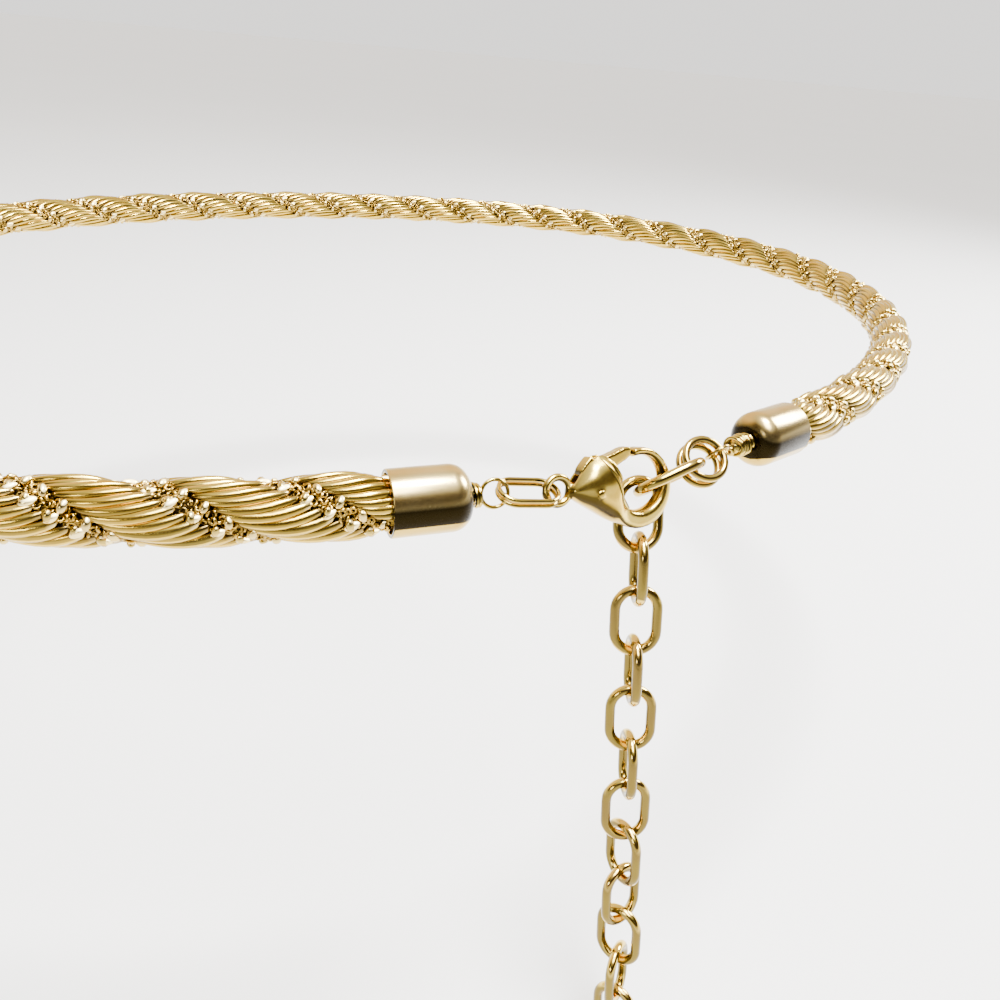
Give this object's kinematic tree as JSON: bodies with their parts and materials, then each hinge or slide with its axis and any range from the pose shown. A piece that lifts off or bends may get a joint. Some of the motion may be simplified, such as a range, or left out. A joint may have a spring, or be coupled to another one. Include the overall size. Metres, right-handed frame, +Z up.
{
  "type": "waist chain",
  "caption": "Gold-tone twisted rope chain worn round the waist, with end caps, a lobster clasp and a hanging extender of oval links.",
  "frame": {"origin": "middle of the loop, in the plane of the rope's centre line", "axes": "+X to the right seen from behind the wearer, across the loop's width; -Y towards the clasp at the back; +Z up, with the extender hanging down from the clasp"},
  "size_m": [0.2592, 0.2211, 0.1005],
  "materials": {
    "rope": "polished gold tone",
    "cap": "polished gold tone",
    "clasp": "polished gold tone",
    "wire": "polished gold tone"
  },
  "bodies": {
    "chain": {"rope_left": "rope", "rope_right": "rope", "end_cap_left": "cap", "end_cap_right": "cap", "eye_wire_left": "wire", "eye_wire_right": "wire", "oval_link_a": "wire", "oval_link_b": "wire", "clasp_body": "clasp", "ring_a": "wire", "ring_b": "wire", "link_01": "wire", "link_02": "wire", "link_03": "wire", "link_04": "wire", "link_05": "wire", "link_06": "wire", "link_07": "wire", "link_08": "wire", "link_09": "wire", "link_10": "wire", "link_11": "wire", "link_12": "wire", "link_13": "wire"},
    "clasp_lever": {"clasp_lever": "clasp"}
  },
  "joints": [
    {"name": "clasp_lever_hinge", "type": "hinge", "parent": "chain", "child": "clasp_lever", "pos_m": [-0.00595, -0.09618, -0.00196], "axis": [0, -0.9397, 0.342], "range_deg": [0, 16], "stiffness_Nm_per_rad": 0.002}
  ]
}
